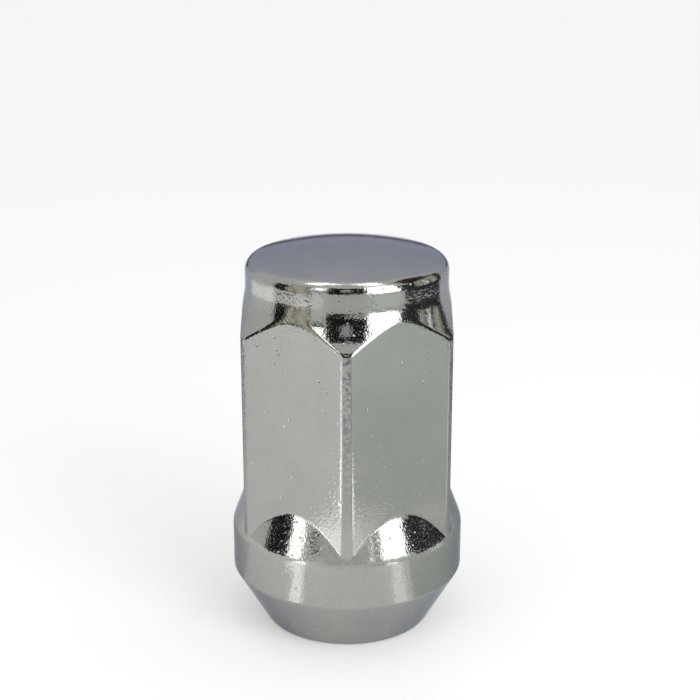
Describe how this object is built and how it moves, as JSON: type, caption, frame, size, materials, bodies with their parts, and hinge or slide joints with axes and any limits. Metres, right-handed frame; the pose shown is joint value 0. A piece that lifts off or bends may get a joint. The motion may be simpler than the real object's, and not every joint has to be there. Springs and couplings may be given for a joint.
{
  "type": "lug nut",
  "caption": "Closed-end wheel nut with a domed cap, wrench hexagon, round bulge and conical seat, and a blind threaded hole, chrome plated.",
  "frame": {"origin": "centre of the foot ring that the nut stands on", "axes": "+Z along the nut's axis from the foot to the domed cap, +X out of the middle of one flat"},
  "size_m": [0.0218, 0.0218, 0.0365],
  "materials": {
    "chrome_plate": "bright decorative chrome plate on forged steel, with a faint grain"
  },
  "bodies": {
    "root": {"lug_nut": "chrome_plate"}
  },
  "joints": []
}
